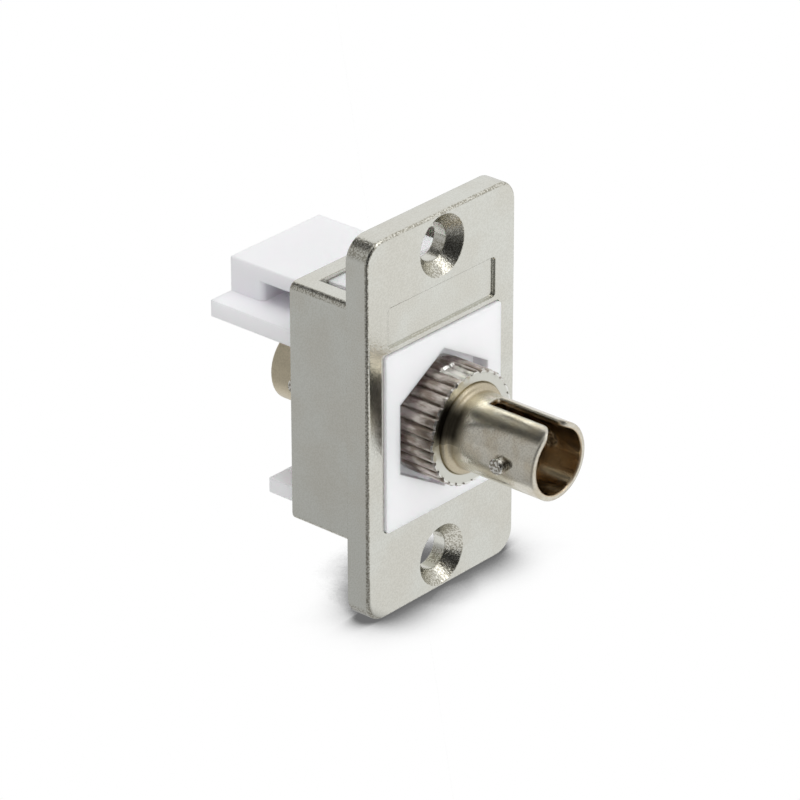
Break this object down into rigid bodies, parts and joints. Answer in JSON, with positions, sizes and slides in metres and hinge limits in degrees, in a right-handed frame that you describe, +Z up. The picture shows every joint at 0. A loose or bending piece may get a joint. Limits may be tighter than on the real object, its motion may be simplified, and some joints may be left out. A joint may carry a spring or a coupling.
{
  "type": "st fibre adapter",
  "caption": "Bayonet fibre coupler with a knurled nut, in a snap-in plastic insert held by a cast metal panel frame with countersunk screw holes.",
  "frame": {"origin": "midway between the two screw holes, on the plane where the back of the frame's plate meets the panel", "axes": "+Z up along the line of the screw holes, -Y out of the front port towards the user, +X to the right seen from the front"},
  "size_m": [0.0188, 0.0315, 0.0352],
  "materials": {
    "cast_nickel": "satin, fine cast grain",
    "white_plastic": "smooth moulded",
    "turned_nickel": "turned, semi-gloss",
    "nut_nickel": "plated, semi-gloss",
    "washer_steel": "plated",
    "holder_metal": "nickel plated",
    "sleeve_ceramic": "polished ceramic",
    "pin_steel": "cut end, semi-gloss"
  },
  "bodies": {
    "root": {"panel_frame": "cast_nickel", "keystone_insert": "white_plastic", "coupler_body": "turned_nickel", "rear_barrel": "turned_nickel", "knurled_nut": "nut_nickel", "lock_washer": "washer_steel", "front_sleeve_holder": "holder_metal", "rear_sleeve_holder": "holder_metal", "split_sleeve": "sleeve_ceramic", "front_left_pin": "pin_steel", "front_right_pin": "pin_steel", "rear_left_pin": "pin_steel", "rear_right_pin": "pin_steel"}
  },
  "joints": []
}
